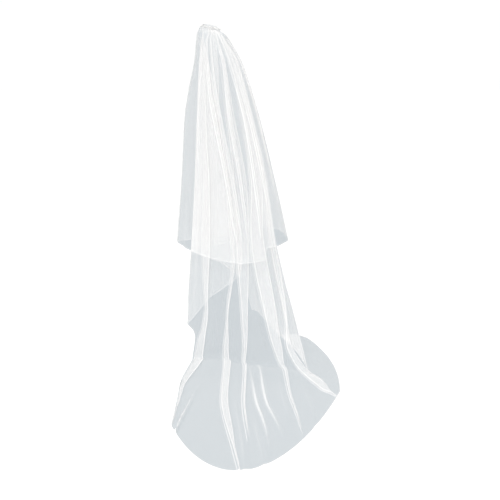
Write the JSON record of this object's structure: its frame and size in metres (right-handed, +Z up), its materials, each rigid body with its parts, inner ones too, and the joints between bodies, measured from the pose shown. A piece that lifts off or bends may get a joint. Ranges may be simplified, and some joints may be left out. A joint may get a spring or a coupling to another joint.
{
  "type": "two-tier cathedral bridal veil as worn, held up by the wearer at its hair comb, with no wearer",
  "caption": "Sheer net bridal veil gathered onto a hair comb, with a hip-length upper tier and a long train that lies on the floor.",
  "frame": {"origin": "middle of the comb's bar, where the wearer's hair holds the veil, 1.6 m above the floor that the train lies on", "axes": "+Z up, -Y towards the end of the train behind the wearer, +X to the wearer's right-hand side as seen from behind; the hollow for the wearer opens to +Y"},
  "size_m": [0.7798, 1.8057, 1.6156],
  "materials": {
    "long_net": "fine soft sheer white net, raw cut edge",
    "upper_net": "fine soft sheer white net, raw cut edge",
    "clear_plastic": "clear moulded plastic"
  },
  "bodies": {
    "root": {"long_tier": "long_net", "upper_tier": "upper_net", "comb": "clear_plastic"}
  },
  "joints": []
}
